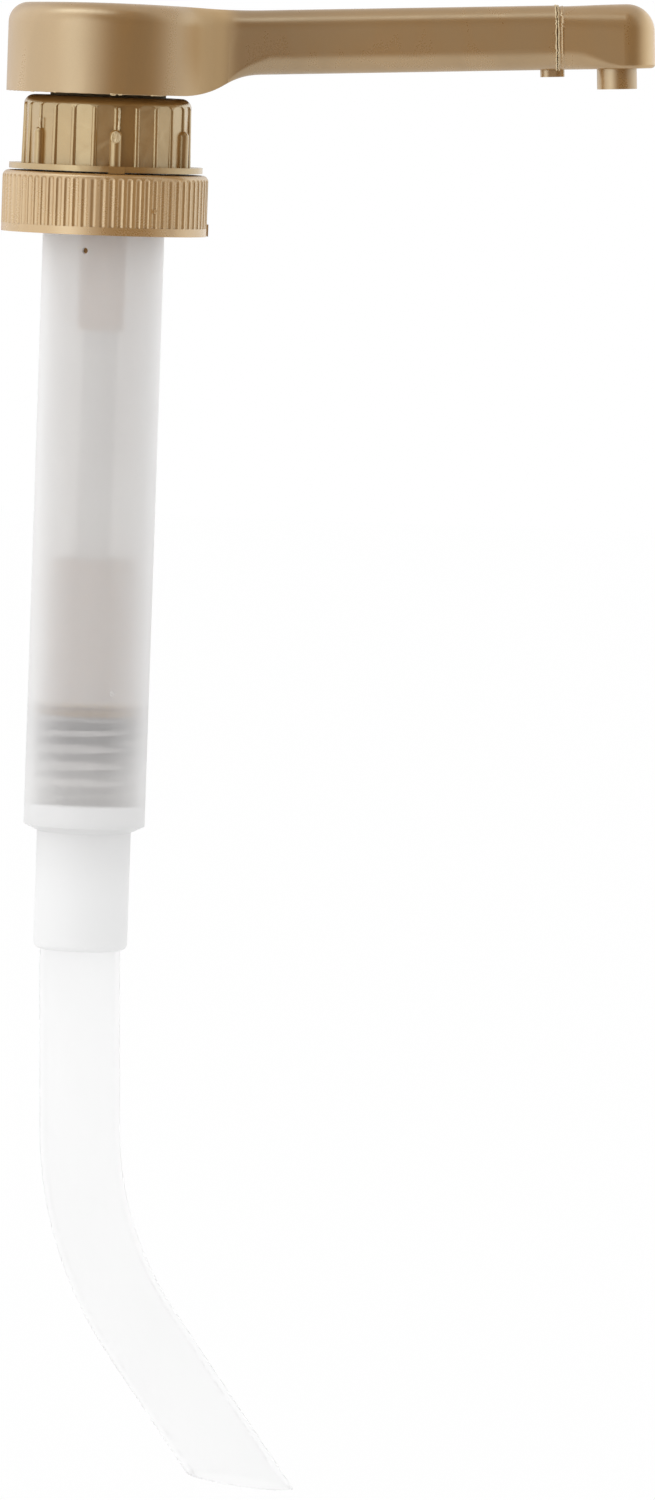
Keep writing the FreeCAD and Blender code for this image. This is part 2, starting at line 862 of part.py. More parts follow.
def lower_section(x, half, top, bottom, corner):
    """Lower half of the arm's section at x, with rounded bottom corners."""
    slant = corner * (1 - math.sqrt(0.5))
    edges = [
        line_edge(V(x, half, top), V(x, half, bottom + corner)),
        arc_edge(V(x, half, bottom + corner), V(x, half - slant, bottom + slant), V(x, half - corner, bottom)),
        line_edge(V(x, half - corner, bottom), V(x, corner - half, bottom)),
        arc_edge(V(x, corner - half, bottom), V(x, slant - half, bottom + slant), V(x, -half, bottom + corner)),
        line_edge(V(x, -half, bottom + corner), V(x, -half, top)),
        line_edge(V(x, -half, top), V(x, half, top)),
    ]
    return Part.Wire(edges)


def plan_half_width(x):
    """Half the width of the head at x, on the plan fillet and along the arm."""
    centre = root_plan()
    if x >= centre.x:
        return arm_w / 2
    return centre.y - math.sqrt(root_plan_r ** 2 - (centre.x - x) ** 2)


def arm_underside():
    """The arm's lower half, whose corners grow from crisp at the root to full along the arm."""
    stations = 5
    sections = []
    for i in range(stations):
        share = i / (stations - 1)
        x = root_soft_start + (root_soft_end - root_soft_start) * share
        corner = crisp_r + (arm_corner_r - crisp_r) * share
        sections.append(lower_section(x, plan_half_width(x), z_arm + x * math.tan(rise), root_bottom_z(x), corner))
    far = arm_reach + overrun
    end = lower_section(far, arm_w / 2, z_arm + far * math.tan(rise), arm_bottom_z(far), arm_corner_r)
    root = Part.makeLoft(sections, True, False)
    arm = Part.makeLoft([sections[-1], end], True, True)
    return root.fuse(arm)


def head_shell():
    body = head_plan_solid().common(head_side_solid())
    chain = []
    for edge in body.Edges:
        middle = edge.valueAt((edge.FirstParameter + edge.LastParameter) / 2)
        bounds = edge.BoundBox
        across = bounds.YLength > arm_w / 2 and bounds.XLength < seam_gap
        high = middle.z > z_arm + middle.x * math.tan(rise) + arm_h / 4
        if high and not across and bounds.ZLength < head_h / 3:
            chain.append(edge)
    body = body.makeFillet(top_edge_r, chain)
    under = raised(box(0, arm_reach * 2, -arm_w, arm_w, -head_h * 2, 0))
    past_root = box(root_soft_start, arm_reach * 2, -arm_w, arm_w, -head_h, head_h * 4)
    body = body.cut(under.common(past_root))
    body = body.fuse(arm_underside())
    beyond = raised(Part.makeBox(arm_reach, head_d * 2, head_h * 3, V(arm_reach, -head_d, -head_h)))
    return body.cut(beyond)


def head_inside():
    """The hollow under the cup, less the lock skirt, the stem socket, the duct and the ribs."""
    roof = z_head_top - roof_t
    wall = head_r - head_wall
    low = z_head_bottom - overrun
    hollow = revolved([(0, low), (wall, low), (wall, roof, roof_fillet), (0, roof)])
    skirt = ring(skirt_in_r, skirt_in_r + skirt_wall, z_head_bottom + skirt_lift, z_head_top)
    keep = [skirt, cylinder(stem_r + press_gap + head_socket_wall, z_head_socket, z_head_top)]
    keep.append(duct_cone(duct_wall, head_r))
    keep.append(box(0, wall, -duct_web_w / 2, duct_web_w / 2, z_arm, z_head_top))
    rib_low = z_head_bottom + head_rib_lift
    for i in range(head_rib_count):
        rib = box(skirt_in_r + skirt_wall / 2, head_r, -head_rib_t / 2, head_rib_t / 2, rib_low, z_head_top)
        keep.append(turned(rib, 360 / head_rib_count * (i + 0.5)))
    return hollow.cut(keep)


def duct_cone(wall, length):
    """The tapering duct through head and arm, grown by wall, from the pump's axis outwards."""
    end_r = duct_start_d / 2 + (duct_end_d - duct_start_d) / 2 * length / arm_reach
    cone = Part.makeCone(duct_start_d / 2 + wall, end_r + wall, length, V(0, 0, 0), V(1, 0, 0))
    return raised(cone)


def make_actuator_head():
    head = head_shell().cut(head_inside())
    # The socket hangs below the rim into the well of the collar.
    hanging = cylinder(stem_r + press_gap + head_socket_wall, z_head_socket, z_stem_top)
    head = head.fuse(hanging)
    bores = [
        duct_cone(0, arm_reach + overrun),
        cylinder(stem_r + press_gap, z_head_socket - overrun, z_stem_top),
        cylinder(stem_r - stem_wall, z_head_socket, z_arm),
    ]
    return head.cut(bores).removeSplitter()


# Spout elbow, in the arm's own level frame
def elbow_end(axis, bottom, crown, nose_r):
    """The half-round end, its side profile turned about the upright axis of the round."""
    slant = crisp_r * (1 - math.sqrt(0.5))
    brow = V(elbow_reach - nose_r, 0, crown)
    nose = V(elbow_reach, 0, crown - nose_r)
    heel = V(elbow_reach, 0, bottom + crisp_r)
    toe = V(elbow_reach - crisp_r, 0, bottom)
    face = Part.Face(Part.Wire([
        line_edge(V(axis, 0, bottom), toe),
        arc_edge(toe, V(elbow_reach - slant, 0, bottom + slant), heel),
        line_edge(heel, nose),
        arc_edge(nose, on_circle(V(brow.x, 0, nose.z), nose_r, brow, nose), brow),
        line_edge(brow, V(axis, 0, crown)),
        line_edge(V(axis, 0, crown), V(axis, 0, bottom)),
    ]))
    face.rotate(V(axis, 0, 0), TOP, -90)
    return face.revolve(V(axis, 0, 0), TOP, 180)


def eased(share):
    """0 to 1, level at both ends."""
    return share * share * (3 - 2 * share)


def elbow_body(start, axis, half, bottom, crown, nose_r):
    """From the seam to the round end: the top climbs and rounds more, the bottom's corners become crisp."""
    upper = []
    lower = []
    for i in range(elbow_stations):
        share = i / (elbow_stations - 1)
        x = start + (axis - start) * share
        top = crown - elbow_hump * eased(1 - share)
        brow = arm_corner_r + (nose_r - arm_corner_r) * share
        upper.append(lower_section(x, half, 0, -top, brow).mirror(AXIS, TOP))
        past_soft = max(x - start - elbow_soft_start, 0) / (axis - start - elbow_soft_start)
        corner = arm_corner_r + (crisp_r - arm_corner_r) * eased(past_soft)
        lower.append(lower_section(x, half, 0, bottom, corner))
    return Part.makeLoft(upper, True, False).fuse(Part.makeLoft(lower, True, False))


def elbow_shell():
    bottom = -arm_h / 2
    half = arm_w / 2 - elbow_step / 2
    start = arm_reach + seam_gap
    axis = elbow_reach - half
    crown = arm_h / 2 - elbow_step + elbow_hump
    nose_r = min(elbow_nose_r, half - seam_gap)
    body = elbow_body(start, axis, half, bottom, crown, nose_r)
    return body.fuse(elbow_end(axis, bottom, crown, nose_r)).removeSplitter()


def elbow_latch():
    """The round-ended key under the seam that locks the elbow to the arm."""
    half = latch_w / 2
    high = -arm_h / 2
    first = arm_reach + latch_past_seam - latch_length + half
    last = arm_reach + latch_past_seam - half
    bar = box(first, last, -half, half, high - latch_t, high + latch_t / 2)
    ends = []
    for x in (first, last):
        ends.append(Part.makeCylinder(half, latch_t * 1.5, V(x, 0, high - latch_t), TOP))
    bar = bar.fuse(ends)
    over_arm = box(first - latch_w, arm_reach + seam_gap, -latch_w, latch_w, high - press_gap, high + latch_t)
    return bar.cut(over_arm)


def make_spout_elbow():
    bottom = -arm_h / 2
    end = bottom - spout_length
    slope = (duct_end_d - duct_start_d) / 2 / arm_reach
    plug_big = duct_end_d / 2 - press_gap
    plug_small = plug_big - slope * plug_length
    plug_start = arm_reach - plug_length
    added = [
        Part.makeCylinder(spout_d / 2, spout_length - bottom - arm_corner_r, V(spout_reach, 0, end), TOP),
        Part.makeCone(plug_small, plug_big, plug_length, V(plug_start, 0, 0), V(1, 0, 0)),
        Part.makeCylinder(plug_big, arm_corner_r, V(arm_reach, 0, 0), V(1, 0, 0)),
        elbow_latch(),
    ]
    way = spout_reach - plug_start + overrun
    bores = [
        Part.makeCylinder(plug_bore_d / 2, way, V(plug_start - overrun, 0, 0), V(1, 0, 0)),
        Part.makeCylinder(spout_bore_d / 2, overrun - end, V(spout_reach, 0, end - overrun), TOP),
        Part.makeSphere(plug_bore_d / 2, V(spout_reach, 0, 0)),
    ]
    return raised(elbow_shell().fuse(added).cut(bores))


def main():
    os.makedirs("parts", exist_ok=True)
    pieces = {
        "barrel": make_barrel,
        "neck_gasket": make_neck_gasket,
        "collar_seal": make_collar_seal,
        "lock_collar": make_lock_collar,
        "guide_sleeve": make_guide_sleeve,
        "stem_wiper": make_stem_wiper,
        "closure": make_closure,
        "ball_cage": make_ball_cage,
        "suction_ball": make_suction_ball,
        "return_spring": make_return_spring,
        "dip_tube": make_dip_tube,
        "piston_cup": make_piston_cup,
        "piston_core": make_piston_core,
        "discharge_ball": make_discharge_ball,
        "stem": make_stem,
        "actuator_head": make_actuator_head,
        "spout_elbow": make_spout_elbow,
    }
    for name, make in pieces.items():
        shape = make()
        print(name, len(shape.Solids), shape.isValid(), round(shape.Volume, 1))
        shape.exportStep("parts/" + name + ".step")


main()
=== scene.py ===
import math

import bpy
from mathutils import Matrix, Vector


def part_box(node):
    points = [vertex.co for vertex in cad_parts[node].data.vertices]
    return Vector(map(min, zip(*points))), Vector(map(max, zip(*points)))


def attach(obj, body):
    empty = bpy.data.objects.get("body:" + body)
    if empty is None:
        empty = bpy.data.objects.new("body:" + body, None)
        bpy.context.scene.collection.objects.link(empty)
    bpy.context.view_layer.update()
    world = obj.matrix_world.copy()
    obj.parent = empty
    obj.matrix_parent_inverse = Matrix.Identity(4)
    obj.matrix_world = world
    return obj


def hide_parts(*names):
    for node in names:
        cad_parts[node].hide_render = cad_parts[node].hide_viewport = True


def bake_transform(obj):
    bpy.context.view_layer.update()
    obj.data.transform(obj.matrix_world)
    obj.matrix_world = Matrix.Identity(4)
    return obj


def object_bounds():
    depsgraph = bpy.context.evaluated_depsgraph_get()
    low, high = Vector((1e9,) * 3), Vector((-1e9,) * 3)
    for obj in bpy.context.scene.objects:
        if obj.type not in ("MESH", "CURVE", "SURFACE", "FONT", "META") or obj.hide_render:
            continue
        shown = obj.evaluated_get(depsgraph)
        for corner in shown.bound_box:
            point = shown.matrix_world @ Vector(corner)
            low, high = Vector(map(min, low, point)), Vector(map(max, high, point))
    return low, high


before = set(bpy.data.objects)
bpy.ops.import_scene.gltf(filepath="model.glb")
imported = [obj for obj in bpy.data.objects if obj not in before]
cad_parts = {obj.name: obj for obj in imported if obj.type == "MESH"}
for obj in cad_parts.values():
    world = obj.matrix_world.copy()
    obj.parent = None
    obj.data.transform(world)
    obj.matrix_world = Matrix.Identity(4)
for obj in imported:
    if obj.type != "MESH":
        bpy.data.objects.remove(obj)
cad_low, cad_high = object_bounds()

MM = 0.001


def lowest(node_name):
    """The lowest corner of a node's box, in millimetres."""
    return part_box(node_name)[0] / MM


def highest(node_name):
    """The highest corner of a node's box, in millimetres."""
    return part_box(node_name)[1] / MM


# The return spring, in millimetres, turns and degrees, between the cage's ring and the piston
CAGE_RING = 2.9
SPRING_FOOT = lowest("ball_cage").z + CAGE_RING
SPRING_TOP = lowest("piston_core").z
SPRING_RADIUS = 9.8
WIRE_RADIUS = 0.75
SPRING_GAP = 0.1
SPRING_RISE = SPRING_TOP - SPRING_FOOT - 2 * (WIRE_RADIUS + SPRING_GAP)
SPRING_TURNS = 6.0
CLOSED_TURNS = 1.125
CLOSED_PITCH = 1.96
EASING_TURNS = 0.4
SPRING_START = 126.0

# Walls that carry a thread, and the threads
BOSS_RADIUS = 11.4
SKIRT_RADIUS = 12.3
CLOSURE_RADIUS = 18.95
THREAD_ROOT = 0.25
LOCK_PITCH = 3.0
NECK_PITCH = 4.23

# The arm's own frame, which rises from the head, and its seam with the elbow
ARM_RISE = 2.95
ARM_HEIGHT = 28.85
ARM_END = 88.0

# The head's lower rim, on the parting line, up to where the arm leaves it
RIM_RADIUS = 20.02
RIM_HEIGHT = 19.45
RIM_FAR = 12.0

# Where the look of a piece changes, as spans along X or Z or out from the axis
ROOT_START = 13.0
ROOT_END = 24.7
PALE_RISE = (ROOT_START, ROOT_START + 5.0)
PALE_FALL = (ROOT_END - 3.2, ROOT_END + 1.3)
DARK_RISE = (ROOT_END - 2.5, ROOT_END + 2.0)
DARK_FADE = (ROOT_END + 6.0, ROOT_END + 30.0)
NOSE_END = highest("spout_elbow").x
NOSE_RISE = (NOSE_END - 4.5, NOSE_END - 1.5)
COLLAR_TOP = 18.73
BOSS_ABOVE = (COLLAR_TOP - 0.3, COLLAR_TOP + 0.1)
BOSS_WITHIN = (BOSS_RADIUS + 0.2, BOSS_RADIUS + 0.8)
PISTON_RIM = SPRING_TOP + 3.0
PISTON_RIM_BELOW = (PISTON_RIM - 0.4, PISTON_RIM + 0.4)
THICK_TOP = SPRING_FOOT + 1.3
THICK_BELOW = (THICK_TOP - 0.7, THICK_TOP + 0.3)
THICKEST_BELOW = (THICK_TOP - 20.0, THICK_TOP - 4.0)
THIN_SHADED_TOP = SPRING_TOP + 2.3
THIN_SHADED_BELOW = (THIN_SHADED_TOP - 1.0, THIN_SHADED_TOP + 1.0)
THIN_SHADED_FADE = (THICK_TOP + 2.0, THIN_SHADED_TOP - 5.0)
FOOT_END = lowest("barrel").z
FOOT_HIDES_ABOVE = (FOOT_END + 0.5, FOOT_END + 1.5)

# Colours
WHITE = (1.0, 1.0, 1.0, 1.0)
GOLD_DEEP = (0.3, 0.144, 0.037, 1.0)
GOLD_PALE = (0.35, 0.172, 0.048, 1.0)
GOLD_TINT = (1.0, 0.97, 0.74, 1.0)
# The pale root colour is painted light on the arm's root; the dark one only darkens the arm's start
ROOT_PAINTED_LIGHT = (0.47, 0.27, 0.1, 1.0)
ROOT_DARK_BAND = (0.17, 0.07, 0.012, 1.0)
# Painted light on the elbow's nose
NOSE_PAINTED_LIGHT = (0.75, 0.45, 0.17, 1.0)
# Painted shade in the gap under the head
BOSS_PAINTED_SHADE = (0.1, 0.05, 0.02, 1.0)
PISTON_RIM_GOLD = (0.6, 0.33, 0.0, 1.0)
# Painted shade round the spring, seen through the barrel
PAINTED_SHADE_GREY = (0.6, 0.59, 0.6, 1.0)
THICK_WHITE = (0.99, 0.99, 0.99, 1.0)


# Small helpers for meshes
def deselect_all():
    if bpy.context.object is not None and bpy.context.object.mode != "OBJECT":
        bpy.ops.object.mode_set(mode="OBJECT")
    bpy.ops.object.select_all(action="DESELECT")


def take(piece):
    deselect_all()
    piece.select_set(True)
    bpy.context.view_layer.objects.active = piece


def apply_place(piece):
    """The piece's place goes into its mesh."""
    take(piece)
    bpy.ops.object.transform_apply(location=True, rotation=True, scale=True)


def edit_all(piece):
    """Edit mode, with everything selected."""
    take(piece)
    bpy.ops.object.mode_set(mode="EDIT")
    bpy.ops.mesh.select_mode(type="VERT")
    bpy.ops.mesh.select_all(action="SELECT")


def edit_where(piece, test):
    """Edit mode, with only the vertices selected for which the test holds."""
    edit_all(piece)
    bpy.ops.mesh.select_all(action="DESELECT")
    bpy.ops.object.mode_set(mode="OBJECT")
    for vertex in piece.data.vertices:
        vertex.select = test(vertex)
    bpy.ops.object.mode_set(mode="EDIT")


def leave_edit():
    bpy.ops.object.mode_set(mode="OBJECT")


def apply_modifiers(piece):
    take(piece)
    for modifier in list(piece.modifiers):
        bpy.ops.object.modifier_apply(modifier=modifier.name)


def screw_up(piece, turns, rise, rings_per_turn):
    """A section is swept round the pump's axis into turns that rise by so many millimetres in all."""
    screw = piece.modifiers.new("turns", "SCREW")
    screw.angle = math.tau * turns
    screw.screw_offset = rise * MM
    screw.steps = int(rings_per_turn * turns)
    screw.render_steps = screw.steps
    screw.use_merge_vertices = False
    apply_modifiers(piece)


def swing(piece, angle):
    """Turns a piece that was made over +X to its angle round the pump's axis."""
    edit_all(piece)
    bpy.ops.transform.rotate(value=-math.radians(angle), orient_axis="Z", center_override=(0, 0, 0))
    leave_edit()


def roughen(piece, amount, seed):
    """Moves each vertex a little, the same way on every run."""
    edit_all(piece)
    bpy.ops.transform.vertex_random(offset=amount * MM, uniform=1.0, normal=0.0, seed=seed)
    leave_edit()


def soften(piece, levels):
    rounding = piece.modifiers.new("rounding", "SUBSURF")
    rounding.levels = levels
    rounding.render_levels = levels
    apply_modifiers(piece)


def thicken_outline(bead_radius, capped):
    """The active piece, an outline of edges, becomes a thin round bead along them."""
    bpy.ops.object.convert(target="CURVE")
    curve = bpy.context.object.data
    curve.bevel_depth = bead_radius * MM
    curve.bevel_resolution = 1
    curve.use_fill_caps = capped
    bpy.ops.object.convert(target="MESH")
    return bpy.context.object


def finish_piece(piece, name, body, material, smooth_deg=60.0):
    """Smooths, names and dresses a modelled piece and lets it ride on its body."""
    edit_all(piece)
    bpy.ops.mesh.normals_make_consistent(inside=False)
    leave_edit()
    bpy.ops.object.shade_smooth_by_angle(angle=math.radians(smooth_deg))
    piece.name = name
    piece.data.name = name
    piece.data.materials.clear()
    piece.data.materials.append(material)
    if body is not None:
        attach(piece, body)


# Node helpers
def value_link(tree, source, target):
    """A constant is set on the socket itself, and anything else is linked to it."""
    if isinstance(source, (int, float, tuple, Vector)):
        target.default_value = source
    else:
        tree.links.new(source, target)


def set_inputs(tree, node, values):
    for name, value in values.items():
        value_link(tree, value, node.inputs[name])


def math_node(tree, operation, first, second=None, third=None, clamp=False):
    node = tree.nodes.new("ShaderNodeMath")
    node.operation = operation
    node.use_clamp = clamp
    for given, socket in zip((first, second, third), node.inputs):
        if given is not None:
            value_link(tree, given, socket)
    return node.outputs[0]


def vector_node(tree, operation, first, second=None):
    node = tree.nodes.new("ShaderNodeVectorMath")
    node.operation = operation
    for given, socket in zip((first, second), node.inputs):
        if given is not None:
            value_link(tree, given, socket)
    return node.outputs["Value" if operation in ("LENGTH", "DOT_PRODUCT") else "Vector"]


def scaled(tree, place, factors):
    return vector_node(tree, "MULTIPLY", place, factors)


def spread(tree, source, from_low, from_high, to_low, to_high, smooth=True):
    """A value moved from one range to another, held at its ends."""
    node = tree.nodes.new("ShaderNodeMapRange")
    node.interpolation_type = "SMOOTHSTEP" if smooth else "LINEAR"
    set_inputs(tree, node, {"Value": source, "From Min": from_low, "From Max": from_high,
                            "To Min": to_low, "To Max": to_high})
    return node.outputs["Result"]


def across(tree, source, span, before=0.0, after=1.0):
    """A value that changes over a span of millimetres along the source."""
    return spread(tree, source, span[0] * MM, span[1] * MM, before, after)


def mixed(tree, factor, first, second):
    """Two colours mixed, through the Mix node's sockets for colours, which go by number."""
    node = tree.nodes.new("ShaderNodeMix")
    node.data_type = "RGBA"
    value_link(tree, factor, node.inputs[0])
    value_link(tree, first, node.inputs[6])
    value_link(tree, second, node.inputs[7])
    return node.outputs[2]


def noise(tree, place, scale, detail=2.0, distortion=0.0):
    node = tree.nodes.new("ShaderNodeTexNoise")
    set_inputs(tree, node, {"Scale": scale, "Detail": detail, "Distortion": distortion, "Vector": place})
    return node.outputs["Fac"]


def parts(tree, place):
    node = tree.nodes.new("ShaderNodeSeparateXYZ")
    tree.links.new(place, node.inputs[0])
    return node.outputs


def bump(tree, height, depth_mm, strength=1.0):
    node = tree.nodes.new("ShaderNodeBump")
    set_inputs(tree, node, {"Strength": strength, "Distance": depth_mm * MM, "Height": height})
    return node.outputs["Normal"]


def effect_group(name, inputs, outputs):
    """An empty node group, its given sockets and the node that takes its results."""
    group = bpy.data.node_groups.new(name, "ShaderNodeTree")
    for label, kind, value in inputs:
        socket = group.interface.new_socket(label, in_out="INPUT", socket_type=kind)
        if value is not None:
            socket.default_value = value
    for label in outputs:
        group.interface.new_socket(label, in_out="OUTPUT", socket_type="NodeSocketFloat")
    given = group.nodes.new("NodeGroupInput").outputs
    result = group.nodes.new("NodeGroupOutput")
    return group, given, result


def placed(tree, group, place):
    node = tree.nodes.new("ShaderNodeGroup")
    node.node_tree = group
    tree.links.new(place, node.inputs["Place"])
    return node


def new_material(name):
    material = bpy.data.materials.new(name)
    material.use_nodes = True
    tree = material.node_tree
    place = tree.nodes.new("ShaderNodeTexCoord").outputs["Object"]
    return material, tree, tree.nodes["Principled BSDF"], place


# Effects that several materials share
def pearl_group():
    """Mica flakes and the slow streaks in which they set, as masks and a height."""
    group, given, result = effect_group(
        "pearl_flow",
        [("Place", "NodeSocketVector", None), ("Streak", "NodeSocketFloat", 1.0)],
        ["Flakes", "Flow", "Height"],
    )
    place = given["Place"]
    drawn_up = scaled(group, place, (1.0, 1.0, 0.35))
    flakes = noise(group, place, scale=3200.0, detail=1.0)
    streaks = noise(group, drawn_up, scale=95.0, detail=3.0, distortion=1.6)
    cloud = noise(group, place, scale=24.0, detail=2.0, distortion=0.5)
    peel = noise(group, place, scale=420.0, detail=2.0)
    flow = math_node(group, "MULTIPLY_ADD", streaks, given["Streak"], cloud)
    set_inputs(group, result, {
        "Flakes": spread(group, flakes, 0.35, 0.65, 0.0, 1.0),
        "Flow": spread(group, flow, 0.75, 1.25, 0.0, 1.0),
        "Height": math_node(group, "MULTIPLY_ADD", flakes, 0.25, peel),
    })
    return group


def haze_group():
    """The cloudy, finely frosted look of natural plastic, as a mask and a height."""
    group, given, result = effect_group(
        "plastic_haze", [("Place", "NodeSocketVector", None)], ["Cloud", "Height"])
    place = given["Place"]
    cloud = noise(group, scaled(group, place, (1.0, 1.0, 0.4)), scale=60.0, detail=3.0, distortion=0.4)
    frost = noise(group, place, scale=1900.0, detail=2.0)
    drawn = noise(group, scaled(group, place, (1.0, 1.0, 0.04)), scale=900.0, detail=1.0)
    set_inputs(group, result, {
        "Cloud": spread(group, cloud, 0.3, 0.7, 0.0, 1.0),
        "Height": math_node(group, "MULTIPLY_ADD", drawn, 0.6, frost),
    })
    return group


PEARL = pearl_group()
HAZE = haze_group()


# Zones of a gold piece that look different, each a mask, its colour, that colour's share and added dullness
def root_zones(tree, place):
    """A pale, dull band of painted light where the arm leaves the head, standing in for the light that a
    wider fillet there would catch, and a darker band after it that fades along the arm.
    """
    along = parts(tree, place)["X"]
    pale_fall = across(tree, along, PALE_FALL, 1.0, 0.0)
    pale = math_node(tree, "MULTIPLY", across(tree, along, PALE_RISE), pale_fall)
    dark_fade = across(tree, along, DARK_FADE, 0.55, 0.15)
    dark = math_node(tree, "MULTIPLY", across(tree, along, DARK_RISE), dark_fade)
    return [(pale, ROOT_PAINTED_LIGHT, 0.9, 0.3), (dark, ROOT_DARK_BAND, 1.0, 0.0)]


def nose_light_zones(tree, place):
    """The elbow's nose, paler as painted light standing in for a lamp close on its right."""
    return [(across(tree, parts(tree, place)["X"], NOSE_RISE), NOSE_PAINTED_LIGHT, 0.45, 0.0)]


def boss_shade_zones(tree, place):
    """The collar's boss in the narrow gap under the head, painted dark and dull as painted shade."""
    from_axis = vector_node(tree, "LENGTH", scaled(tree, place, (1.0, 1.0, 0.0)))
    near = across(tree, from_axis, BOSS_WITHIN, 1.0, 0.0)
    high = across(tree, parts(tree, place)["Z"], BOSS_ABOVE)
    return [(math_node(tree, "MULTIPLY", near, high), BOSS_PAINTED_SHADE, 1.0, 0.6)]


def piston_rim_zones(tree, place):
    """The piston's lowest rim, which lies close to the barrel's wall and shows its full colour through it."""
    return [(across(tree, parts(tree, place)["Z"], PISTON_RIM_BELOW, 1.0, 0.0), PISTON_RIM_GOLD, 1.0, 0.0)]


def pearl_gold(name, roughness, deep=GOLD_DEEP, pale=GOLD_PALE, streak=1.0, peel_mm=0.001, wave_mm=0.0,
               tint=GOLD_TINT, shine=0.75, zones=None):
    """Gold pearl plastic: a brown body colour under a pale, broad sheen of mica."""
    material, tree, shader, place = new_material(name)
    pearl = placed(tree, PEARL, place)
    pearl.inputs["Streak"].default_value = streak
    flake_share = 0.2
    flow = math_node(tree, "MULTIPLY", pearl.outputs["Flow"], 1 - flake_share)
    tone = math_node(tree, "MULTIPLY_ADD", pearl.outputs["Flakes"], flake_share, flow)
    colour = mixed(tree, tone, deep, pale)
    uneven = 0.04
    dullness = spread(tree, tone, 0.0, 1.0, roughness + uneven, roughness - uneven)
    for mask, zone_colour, share, added in zones(tree, place) if zones else []:
        colour = mixed(tree, math_node(tree, "MULTIPLY", mask, share), colour, zone_colour)
        dullness = math_node(tree, "MULTIPLY_ADD", mask, added, dullness, clamp=True)
    normal = bump(tree, pearl.outputs["Height"], peel_mm, strength=0.35)
    if wave_mm:
        waves = noise(tree, scaled(tree, place, (1.0, 1.0, 1.6)), scale=210.0, detail=1.0, distortion=0.6)
        waved = bump(tree, waves, wave_mm)
        tree.links.new(normal, waved.node.inputs["Normal"])
        normal = waved
    set_inputs(tree, shader, {
        "Base Color": colour, "Roughness": dullness, "IOR": 2.1, "Specular IOR Level": shine,
        "Specular Tint": tint, "Normal": normal,
    })
    return material


def barrel_wall(tree, height, colour, clearness):
    """The barrel's wall is thick at its floor and foot and cloudy seen aslant; round the spring it is thin
    and clearer, and greyed there with painted shade for the shaded space under the piston.
    """
    edge = tree.nodes.new("ShaderNodeLayerWeight")
    edge.inputs["Blend"].default_value = 0.5
    aslant = spread(tree, edge.outputs["Facing"], 0.04, 0.6, 0.0, 0.62, smooth=False)
    floor = across(tree, height, THICK_BELOW, 0.75, 0.0)
    foot = across(tree, height, THICKEST_BELOW, 0.25, 0.0)
    thick = math_node(tree, "MAXIMUM", math_node(tree, "ADD", floor, foot), aslant)
    fade = across(tree, height, THIN_SHADED_FADE, 0.15, 1.0)
    # This zone round the spring lets more light through and also greys the colour as painted shade
    thin = math_node(tree, "MULTIPLY", across(tree, height, THIN_SHADED_BELOW, 1.0, 0.0), fade)
    colour = mixed(tree, math_node(tree, "MULTIPLY", thin, 0.27), colour, PAINTED_SHADE_GREY)
    colour = mixed(tree, thick, colour, THICK_WHITE)
    clearer = math_node(tree, "MULTIPLY_ADD", thin, 0.12, clearness)
    unfogged = math_node(tree, "MULTIPLY_ADD", thick, -0.9, 1.0)
    return colour, math_node(tree, "MULTIPLY", clearer, unfogged)


def tube_wall(tree, height, colour, clearness):
    """The tube's upper end is milky where the foot hides it, so that the foot looks light from below."""
    return colour, across(tree, height, FOOT_HIDES_ABOVE, clearness, 0.1)


def natural_plastic(name, dull, clear, roughness, clearness, ior=1.3, wall=None):
    """Unpigmented plastic that lets a soft picture of what is behind it through."""
    material, tree, shader, place = new_material(name)
    haze = placed(tree, HAZE, place)
    colour = mixed(tree, haze.outputs["Cloud"], dull, clear)
    if wall is not None:
        colour, clearness = wall(tree, parts(tree, place)["Z"], colour, clearness)
    set_inputs(tree, shader, {
        "Base Color": colour, "Roughness": roughness, "Transmission Weight": clearness, "IOR": ior,
        "Normal": bump(tree, haze.outputs["Height"], 0.0005, strength=0.3),
    })
    return material


def soft_white(name, dull, clear, roughness, cells):
    """Foam sheet or elastomer, with its fine cells or bloom."""
    material, tree, shader, place = new_material(name)
    spots = tree.nodes.new("ShaderNodeTexVoronoi")
    set_inputs(tree, spots, {"Scale": cells, "Vector": place})
    cell = spread(tree, spots.outputs["Distance"], 0.1, 0.6, 0.0, 1.0)
    set_inputs(tree, shader, {
        "Base Color": mixed(tree, cell, dull, clear),
        "Roughness": spread(tree, cell, 0.0, 1.0, roughness, roughness - 0.12),
        "Normal": bump(tree, cell, 0.03, strength=0.4),
    })
    return material


def bright_steel(name, tone, roughness, drawn_scale):
    """Drawn or polished stainless steel."""
    material, tree, shader, place = new_material(name)
    lines = noise(tree, place, scale=drawn_scale, detail=3.0)
    low = tuple(0.8 * part for part in tone) + (1.0,)
    set_inputs(tree, shader, {
        "Base Color": mixed(tree, lines, low, tone + (1.0,)),
        "Roughness": spread(tree, lines, 0.2, 0.8, roughness - 0.05, roughness + 0.08),
        "Metallic": 1.0,
        "Normal": bump(tree, lines, 0.003, strength=0.3),
    })
    return material


